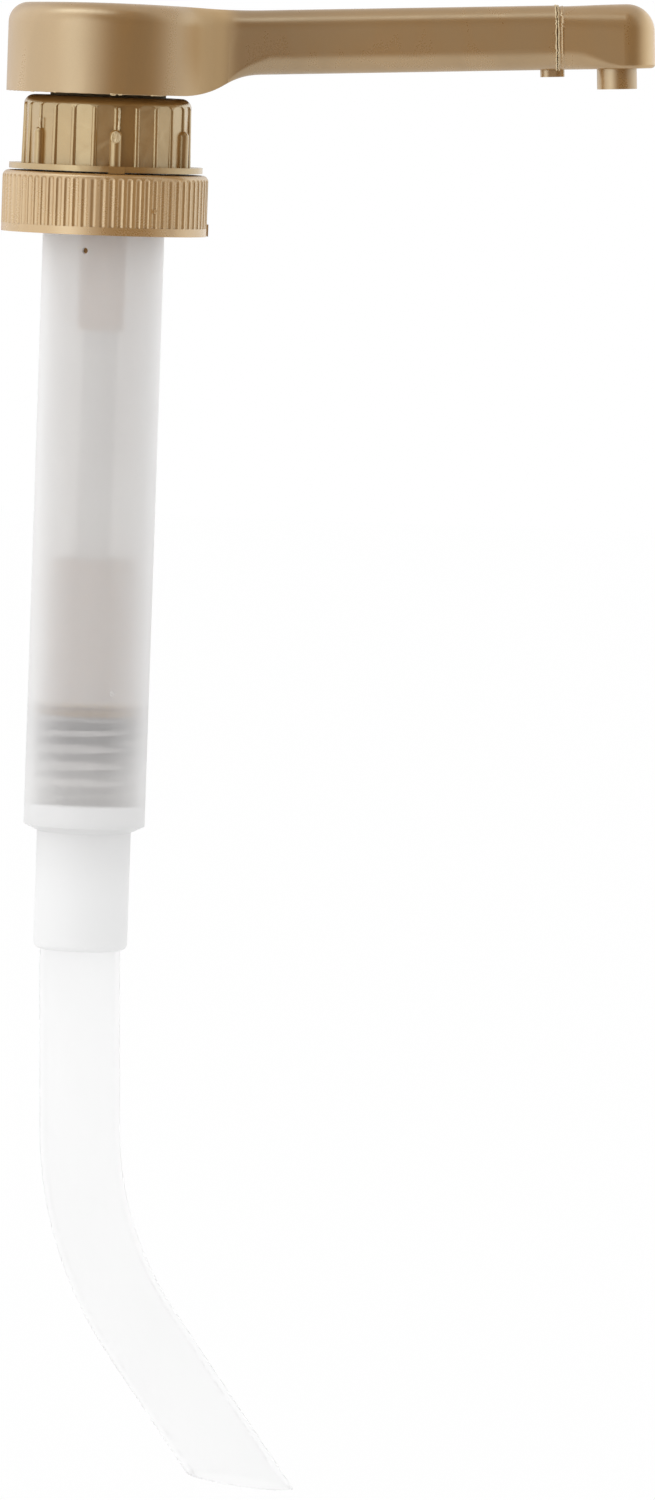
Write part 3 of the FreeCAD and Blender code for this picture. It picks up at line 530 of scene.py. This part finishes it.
# The finishes
head_gold = pearl_gold("head_gold", roughness=0.3, zones=root_zones)
elbow_gold = pearl_gold("elbow_gold", roughness=0.3, zones=nose_light_zones)
collar_gold = pearl_gold("collar_gold", roughness=0.2, streak=0.6, peel_mm=0.0005, wave_mm=0.14,
                         tint=(1.0, 0.95, 0.64, 1.0), zones=boss_shade_zones)
closure_gold = pearl_gold("closure_gold", roughness=0.28, deep=(0.37, 0.185, 0.055, 1.0),
                          pale=(0.45, 0.24, 0.08, 1.0), peel_mm=0.0004)
inner_gold = pearl_gold("inner_gold", roughness=0.4, deep=(0.42, 0.18, 0.03, 1.0),
                        pale=(0.5, 0.22, 0.045, 1.0), tint=(1.0, 0.85, 0.5, 1.0), shine=0.3,
                        zones=piston_rim_zones)
torn_gold = pearl_gold("torn_gold", roughness=0.3, deep=(0.5, 0.32, 0.13, 1.0),
                       pale=(0.7, 0.53, 0.32, 1.0), peel_mm=0.004)
frosted_barrel = natural_plastic("frosted_barrel", dull=(0.94, 0.92, 0.905, 1.0),
                                 clear=(0.97, 0.955, 0.94, 1.0), roughness=0.3, clearness=0.55,
                                 ior=1.15, wall=barrel_wall)
milky_tube = natural_plastic("milky_tube", dull=(0.993, 0.993, 0.993, 1.0), clear=WHITE,
                             roughness=0.3, clearness=0.88, ior=1.02, wall=tube_wall)
milky_stem = natural_plastic("milky_stem", dull=(0.88, 0.88, 0.87, 1.0), clear=(0.92, 0.92, 0.91, 1.0),
                             roughness=0.4, clearness=0.1)
milky_cage = natural_plastic("milky_cage", dull=(0.93, 0.93, 0.92, 1.0), clear=(0.96, 0.96, 0.95, 1.0),
                             roughness=0.4, clearness=0.2)
foam_white = soft_white("foam_white", dull=(0.84, 0.84, 0.82, 1.0), clear=(0.93, 0.93, 0.92, 1.0),
                        roughness=0.85, cells=1800.0)
seal_white = soft_white("seal_white", dull=(0.8, 0.8, 0.78, 1.0), clear=(0.88, 0.88, 0.86, 1.0),
                        roughness=0.6, cells=900.0)
# The spring's steel is made almost black as painted shade, for the shaded space in the barrel round it
spring_steel = bright_steel("spring_steel", tone=(0.05, 0.05, 0.053), roughness=0.24, drawn_scale=900.0)
ball_steel = bright_steel("ball_steel", tone=(0.78, 0.78, 0.79), roughness=0.12, drawn_scale=400.0)

FINISHES = {
    "actuator_head": head_gold,
    "spout_elbow": elbow_gold,
    "lock_collar": collar_gold,
    "guide_sleeve": inner_gold,
    "closure": closure_gold,
    "piston_core": inner_gold,
    "piston_cup": inner_gold,
    "barrel": frosted_barrel,
    "dip_tube": milky_tube,
    "stem": milky_stem,
    "ball_cage": milky_cage,
    "neck_gasket": foam_white,
    "collar_seal": seal_white,
    "stem_wiper": seal_white,
    "discharge_ball": ball_steel,
    "suction_ball": ball_steel,
}
for node_name, material in FINISHES.items():
    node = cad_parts[node_name]
    node.data.materials.clear()
    node.data.materials.append(material)


# The return spring, modelled in place of the CAD's own, between the cage's ring and the piston
def spring_height(turn):
    """Height of the wire's middle above its first end, close at both ends and even between them."""
    open_turns = SPRING_TURNS - 2 * CLOSED_TURNS
    open_pitch = (SPRING_RISE - 2 * CLOSED_TURNS * CLOSED_PITCH) / open_turns
    height = 0.0
    steps = 60
    for i in range(steps):
        at = turn * (i + 0.5) / steps
        from_end = min(at, SPRING_TURNS - at) - CLOSED_TURNS
        share = min(max(from_end / EASING_TURNS + 0.5, 0.0), 1.0)
        height += (CLOSED_PITCH + (open_pitch - CLOSED_PITCH) * share) * turn / steps
    return height


def make_spring():
    """The wire starts as one circle, is swept into flat turns, and each ring of it is set to its height."""
    rings_per_turn = 40
    wire_sides = 14
    deselect_all()
    bpy.ops.mesh.primitive_circle_add(vertices=wire_sides, radius=WIRE_RADIUS * MM,
                                      location=(SPRING_RADIUS * MM, 0, 0),
                                      rotation=(math.radians(90), 0, 0))
    spring = bpy.context.object
    apply_place(spring)
    screw_up(spring, SPRING_TURNS, 0.0, rings_per_turn)
    first_end = SPRING_FOOT + SPRING_GAP + WIRE_RADIUS
    for index, vertex in enumerate(spring.data.vertices):
        height = spring_height(index // wire_sides / rings_per_turn)
        vertex.co.z += (first_end + height) * MM
    swing(spring, SPRING_START)
    edit_all(spring)
    bpy.ops.mesh.fill_holes(sides=0)
    leave_edit()
    finish_piece(spring, "coil_spring", None, spring_steel)
    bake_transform(spring)
    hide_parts("return_spring")


make_spring()


# The moulded threads
def make_thread(name, wall, crest, pitch, turns, low, base_wide, crest_wide, body, material):
    """A trapezoid with rounded corners is screwed up along the wall and sinks into it at both ends."""
    corner = 0.15
    rings_per_turn = 60
    sinking_rings = 9
    sinking_past_wall = 0.1
    touching = 1e-6
    into_wall = 1.0 if crest < wall else -1.0
    root = wall + into_wall * THREAD_ROOT
    deselect_all()
    bpy.ops.mesh.primitive_plane_add(size=1.0, location=((crest + root) / 2 * MM, 0, low * MM),
                                     rotation=(math.radians(90), 0, 0))
    ridge = bpy.context.object
    ridge.scale = (abs(crest - root) * MM, base_wide * MM, 1.0)
    apply_place(ridge)
    edit_where(ridge, lambda vertex: abs(vertex.co.x - crest * MM) < touching)
    bpy.ops.transform.resize(value=(1, 1, crest_wide / base_wide), center_override=(crest * MM, 0, low * MM))
    bpy.ops.mesh.bevel(offset=corner * crest_wide * MM, segments=3, affect="VERTICES")
    bpy.ops.mesh.select_all(action="SELECT")
    bpy.ops.mesh.delete(type="ONLY_FACE")
    leave_edit()
    corners = len(ridge.data.vertices)
    screw_up(ridge, turns, pitch * turns, rings_per_turn)
    rings = len(ridge.data.vertices) // corners
    for ring in list(range(sinking_rings)) + list(range(rings - sinking_rings, rings)):
        from_end = min(ring, rings - 1 - ring) / sinking_rings
        sunk = (1.0 - from_end) ** 2 * (abs(crest - wall) + sinking_past_wall)
        share = 1.0 + into_wall * sunk / crest
        edit_where(ridge, lambda vertex: vertex.index // corners == ring)
        bpy.ops.transform.resize(value=(share, share, 1), center_override=(0, 0, 0))
    bpy.ops.mesh.select_all(action="SELECT")
    bpy.ops.mesh.fill_holes(sides=0)
    leave_edit()
    finish_piece(ridge, name, body, material, smooth_deg=40.0)


make_thread("collar_lock_thread", wall=BOSS_RADIUS, crest=11.8, pitch=LOCK_PITCH, turns=1.1, low=19.5,
            base_wide=1.5, crest_wide=0.7, body="barrel", material=collar_gold)
make_thread("head_lock_thread", wall=SKIRT_RADIUS, crest=11.9, pitch=LOCK_PITCH, turns=1.1, low=21.1,
            base_wide=1.4, crest_wide=0.6, body="head", material=head_gold)
make_thread("bottle_thread", wall=CLOSURE_RADIUS, crest=17.75, pitch=NECK_PITCH, turns=1.35, low=-7.0,
            base_wide=2.4, crest_wide=1.1, body="closure", material=closure_gold)


# What the moulds leave: ridges and flash along the parting lines, torn gates and small pips
def make_rim_line():
    """A fine ridge round the head's lower rim, up to where the arm leaves it."""
    bead_radius = 0.11
    deselect_all()
    bpy.ops.mesh.primitive_circle_add(vertices=160, radius=RIM_RADIUS * MM, location=(0, 0, RIM_HEIGHT * MM))
    ridge = bpy.context.object
    apply_place(ridge)
    edit_where(ridge, lambda vertex: vertex.co.x > RIM_FAR * MM)
    bpy.ops.mesh.delete(type="VERT")
    leave_edit()
    roughen(ridge, bead_radius * 0.3, seed=3)
    finish_piece(thicken_outline(bead_radius, capped=True), "head_rim_flash", "head", elbow_gold)


def make_seam_line(name, past_arm, half_wide, high, low, corner, bead_radius, rough, material, seed):
    """A fine ridge right round the arm's section, so far past the arm's end."""
    deselect_all()
    bpy.ops.mesh.primitive_plane_add(size=1.0, rotation=(0, math.radians(90), 0),
                                     location=((ARM_END + past_arm) * MM, 0, (high + low) / 2 * MM))
    outline = bpy.context.object
    outline.scale = ((high - low) * MM, 2 * half_wide * MM, 1.0)
    apply_place(outline)
    edit_all(outline)
    bpy.ops.mesh.bevel(offset=corner * MM, segments=8, affect="VERTICES")
    bpy.ops.mesh.select_all(action="SELECT")
    bpy.ops.mesh.delete(type="ONLY_FACE")
    bpy.ops.mesh.select_all(action="SELECT")
    bpy.ops.mesh.subdivide(number_cuts=3)
    leave_edit()
    roughen(outline, rough, seed)
    ridge = thicken_outline(bead_radius, capped=False)
    ridge.rotation_euler = (0, -math.radians(ARM_RISE), 0)
    ridge.location = (0, 0, ARM_HEIGHT * MM)
    apply_place(ridge)
    finish_piece(ridge, name, "head", material)


def make_flash(name, length, half_thick, upright, radius, angle, height, body, seed):
    """A thin, uneven ridge of flash, drawn up from a small ring in steps."""
    step_length = 0.35
    unevenness = 0.6
    steps = max(int(length / step_length), 3)
    if upright:
        turn = (0, 0, 0)
        along = (0, 0, length / steps * MM)
        start = (radius * MM, 0, (height - length / 2) * MM)
    else:
        turn = (math.radians(90), 0, 0)
        along = (0, -length / steps * MM, 0)
        start = (radius * MM, length / 2 * MM, height * MM)
    deselect_all()
    bpy.ops.mesh.primitive_circle_add(vertices=6, radius=half_thick * MM, fill_type="NGON",
                                      location=start, rotation=turn)
    line = bpy.context.object
    apply_place(line)
    edit_all(line)
    for _ in range(steps):
        bpy.ops.mesh.extrude_region_move(TRANSFORM_OT_translate={"value": along})
    leave_edit()
    roughen(line, half_thick * unevenness, seed)
    soften(line, levels=1)
    swing(line, angle)
    finish_piece(line, name, body, torn_gold)


def make_lump(name, wide, high, proud, radius, angle, height, body, material, seed, rough):
    """A low oval lump with a broken face, such as a torn gate or a pip."""
    sunk = 0.3
    inset = 0.16 * wide
    shoulder_share = 0.6
    shoulder = sunk + proud * shoulder_share
    deselect_all()
    bpy.ops.mesh.primitive_circle_add(vertices=14, radius=MM / 2, fill_type="NGON",
                                      location=((radius - sunk) * MM, 0, height * MM),
                                      rotation=(0, math.radians(90), 0))
    lump = bpy.context.object
    lump.scale = (high, wide, 1.0)
    apply_place(lump)
    edit_all(lump)
    bpy.ops.mesh.extrude_region_move(TRANSFORM_OT_translate={"value": (shoulder * MM, 0, 0)})
    bpy.ops.mesh.inset(thickness=inset * MM)
    bpy.ops.transform.translate(value=(proud * (1 - shoulder_share) * MM, 0, 0))
    bpy.ops.mesh.inset(thickness=inset * MM)
    bpy.ops.mesh.poke()
    leave_edit()
    roughen(lump, rough, seed)
    soften(lump, levels=2)
    swing(lump, angle)
    finish_piece(lump, name, body, material)


# Name, past the arm's end, half width, top, bottom, corner, bead's radius, unevenness, finish, seed
SEAM_LINES = (
    ("arm_seam_flash", -0.14, 6.32, 6.34, -6.34, 4.1, 0.14, 0.11, torn_gold, 3),
    ("elbow_seam_flash", 0.33, 6.34, 6.24, -6.34, 4.1, 0.14, 0.11, torn_gold, 5),
    ("elbow_seam_swell", 1.15, 5.8, 5.72, -5.92, 3.7, 0.55, 0.015, elbow_gold, 6),
)
# Name, length, half thickness, upright or along the rim, radius and angle on the pump, height, body, seed
FLASHES = (
    ("rib_flash_front", 4.6, 0.24, True, 16.62, -80.6, 14.5, "barrel", 2),
    ("rib_flash_left", 2.3, 0.16, True, 16.8, -140.0, 13.2, "barrel", 7),
    ("rim_flash_left", 1.1, 0.18, False, 20.0, -136.6, 19.38, "head", 4),
    ("rim_flash_middle", 0.7, 0.14, False, 20.0, -120.2, 19.4, "head", 8),
    ("rim_flash_front", 1.2, 0.26, False, 20.0, -86.0, 19.36, "head", 9),
    ("rim_flash_inner", 0.9, 0.22, False, 20.0, -82.0, 19.38, "head", 12),
    ("rim_flash_right", 2.9, 0.14, False, 20.0, -60.2, 19.4, "head", 6),
)

make_rim_line()
for seam_line in SEAM_LINES:
    make_seam_line(*seam_line)
for flash in FLASHES:
    make_flash(*flash)
make_lump("gate_vestige", wide=2.1, high=2.6, proud=0.35, radius=17.45, angle=-83.1, height=10.95,
          body="barrel", material=torn_gold, seed=11, rough=0.16)
make_lump("closure_pip", wide=0.9, high=1.1, proud=0.2, radius=20.1, angle=-59.0, height=-3.3,
          body="closure", material=closure_gold, seed=5, rough=0.08)
make_lump("barrel_pip", wide=1.1, high=1.3, proud=0.12, radius=11.95, angle=-65.5, height=-98.4,
          body="barrel", material=frosted_barrel, seed=5, rough=0.05)


# Stage, light and camera
def shader_mix(tree, factor, first, second):
    mix = tree.nodes.new("ShaderNodeMixShader")
    for given, socket in zip((factor, first, second), mix.inputs):
        tree.links.new(given, socket)
    return mix.outputs[0]


def white_to_camera(tree, lit_output, white_share):
    """Mixes a lit shader with plain white for camera, glossy and transmission rays."""
    path = tree.nodes.new("ShaderNodeLightPath")
    seen = math_node(tree, "MAXIMUM", path.outputs["Is Camera Ray"], path.outputs["Is Glossy Ray"])
    seen = math_node(tree, "MAXIMUM", seen, path.outputs["Is Transmission Ray"])
    white = tree.nodes.new("ShaderNodeEmission")
    white.inputs["Color"].default_value = WHITE
    return shader_mix(tree, math_node(tree, "MULTIPLY", seen, white_share), lit_output, white.outputs[0])


def make_floor():
    """A pale floor under the tube's end that white light passes through from below."""
    size_m = 4.0
    back_m = 1.85
    drop = 0.3
    deselect_all()
    bpy.ops.mesh.primitive_grid_add(x_subdivisions=2, y_subdivisions=2, size=size_m,
                                    location=(0, back_m, cad_low.z - drop * MM))
    floor = bpy.context.object
    floor.name = "pale_floor"
    apply_place(floor)
    material, tree, shader, _ = new_material("pale_floor")
    set_inputs(tree, shader, {"Base Color": (0.95, 0.95, 0.95, 1.0), "Roughness": 1.0,
                              "Specular IOR Level": 0.0})
    seen = white_to_camera(tree, shader.outputs[0], white_share=0.97)
    clear = tree.nodes.new("ShaderNodeBsdfTransparent").outputs[0]
    below = tree.nodes.new("ShaderNodeNewGeometry").outputs["Backfacing"]
    surface = shader_mix(tree, below, seen, clear)
    tree.links.new(surface, tree.nodes["Material Output"].inputs["Surface"])
    floor.data.materials.append(material)


def towards(tree, direction, heading):
    """The cosine between a sky direction and a heading."""
    return vector_node(tree, "DOT_PRODUCT", direction, Vector(heading).normalized())


def sky_lobe(tree, direction, heading, wide_deg, full_deg):
    """How far a sky direction lies inside a soft patch of the studio."""
    wide = math.cos(math.radians(wide_deg))
    full = math.cos(math.radians(full_deg))
    return spread(tree, towards(tree, direction, heading), wide, full, 0.0, 1.0)


def sky_band(tree, direction, axis, offset, wide_deg, full_deg):
    """How far a sky direction lies inside a band that runs round an axis."""
    wide = math.sin(math.radians(wide_deg))
    full = math.sin(math.radians(full_deg))
    off = math_node(tree, "ABSOLUTE", math_node(tree, "SUBTRACT", towards(tree, direction, axis), offset))
    return spread(tree, off, full, wide, 1.0, 0.0)


def mirrored_sky(tree, direction, left_wall):
    """What gloss shows: bright walls and a screen, a long lamp high up and a dark front right."""
    height = parts(tree, direction)["Z"]
    upright = vector_node(tree, "NORMALIZE", scaled(tree, direction, (1.0, 1.0, 0.2)))
    right_wall = sky_lobe(tree, direction, (0.76, 0.65, 0.0), wide_deg=50.0, full_deg=15.0)
    screen = sky_lobe(tree, direction, (-0.485, -0.873, 0.05), wide_deg=34.0, full_deg=10.0)
    lamp = sky_lobe(tree, direction, (-0.37, -0.25, 0.89), wide_deg=34.0, full_deg=12.0)
    tube = sky_band(tree, direction, (0.587, 0.772, 0.244), offset=-0.16, wide_deg=14.0, full_deg=5.0)
    dark = sky_lobe(tree, upright, (0.33, -0.91, 0.26), wide_deg=62.0, full_deg=24.0)
    dark = math_node(tree, "MULTIPLY", dark, spread(tree, height, -0.7, -0.1, 0.0, 1.0))
    dark = math_node(tree, "MULTIPLY", dark, spread(tree, height, 0.2, 0.8, 1.0, 0.85))
    level = spread(tree, height, 0.5, 0.95, 1.0, 0.75)
    level = math_node(tree, "MULTIPLY_ADD", left_wall, 0.7, level)
    level = math_node(tree, "MULTIPLY_ADD", right_wall, 0.75, level)
    level = math_node(tree, "MULTIPLY", level, math_node(tree, "SUBTRACT", 1.0, dark))
    level = math_node(tree, "MULTIPLY_ADD", math_node(tree, "MULTIPLY", lamp, tube), 2.4, level)
    return math_node(tree, "MULTIPLY_ADD", screen, 0.85, level)


def make_sky():
    """A white studio, plain white to the camera and softer than that as light on the pump."""
    world = bpy.data.worlds.new("studio")
    bpy.context.scene.world = world
    world.use_nodes = True
    tree = world.node_tree
    direction = tree.nodes.new("ShaderNodeTexCoord").outputs["Generated"]
    left_wall = sky_lobe(tree, direction, (-1.0, -0.09, 0.09), wide_deg=80.0, full_deg=50.0)
    mirrored = mirrored_sky(tree, direction, left_wall)
    shade = sky_lobe(tree, direction, (0.7, -0.7, 0.0), wide_deg=60.0, full_deg=25.0)
    soft = math_node(tree, "MULTIPLY_ADD", left_wall, 0.25, 0.87)
    soft = math_node(tree, "MULTIPLY_ADD", shade, -0.08, soft)
    path = tree.nodes.new("ShaderNodeLightPath").outputs
    level = spread(tree, path["Is Glossy Ray"], 0.0, 1.0, soft, mirrored, smooth=False)
    seen = math_node(tree, "MAXIMUM", path["Is Camera Ray"], path["Is Transmission Ray"])
    level = spread(tree, seen, 0.0, 1.0, level, 1.0, smooth=False)
    set_inputs(tree, tree.nodes["Background"], {"Color": WHITE, "Strength": level})


def make_camera():
    """The photograph's long view from a little above, rolled so that the pump leans as it does there."""
    eye = Vector((48.1, -2000.0, 37.0)) * MM
    aim = Vector((47.7, 0.0, -108.85)) * MM
    roll = math.radians(2.0)
    data = bpy.data.cameras.new("photo_camera")
    data.sensor_width = 36.0
    data.lens = 243.0
    data.clip_start = 0.05
    data.clip_end = 50.0
    camera = bpy.data.objects.new("photo_camera", data)
    bpy.context.scene.collection.objects.link(camera)
    back = (eye - aim).normalized()
    level = Vector((0, 0, 1)).cross(back).normalized()
    upright = back.cross(level)
    right = level * math.cos(roll) + upright * math.sin(roll)
    top = back.cross(right)
    matrix = camera.matrix_world.copy()
    for column, axis in enumerate((right, top, back, eye)):
        for row in range(3):
            matrix[row][column] = axis[row]
    camera.matrix_world = matrix
    bpy.context.scene.camera = camera


make_floor()
make_sky()
make_camera()
bpy.context.scene.view_settings.view_transform = "Standard"
